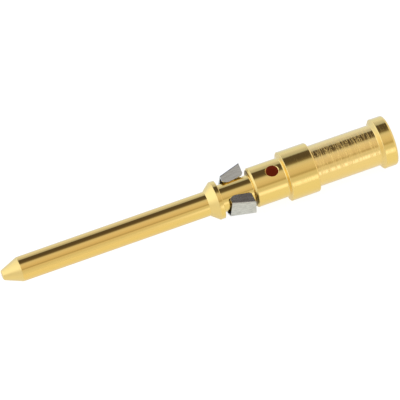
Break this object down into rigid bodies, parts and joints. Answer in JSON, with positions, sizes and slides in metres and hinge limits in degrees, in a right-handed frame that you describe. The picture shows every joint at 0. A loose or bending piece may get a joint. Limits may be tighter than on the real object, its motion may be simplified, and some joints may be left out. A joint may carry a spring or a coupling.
{
  "type": "crimp contact pin",
  "caption": "Gold-plated male crimp contact with a blunt pin, a folded and flared steel retention clip on its neck, a sight hole and a bored barrel that is crimped onto a stranded wire.",
  "frame": {"origin": "on the contact's axis, where the pin meets its conical flare", "axes": "+X along the axis from the pin's tip to the wire end; +Z through the sight hole and the slot between the clip's flaps; +Y completes a right-handed frame"},
  "size_m": [0.0262, 0.0032, 0.0032],
  "materials": {
    "gold_plate": "polished, with fine turning marks",
    "spring_steel": "satin, rolled strip"
  },
  "bodies": {
    "contact": {"contact_body": "gold_plate"},
    "clip": {"retention_clip": "spring_steel"}
  },
  "joints": [
    {"name": "clip_turn", "type": "hinge", "parent": "contact", "child": "clip", "pos_m": [0.00197, 0, 0], "axis": [1, 0, 0], "continuous": true}
  ]
}
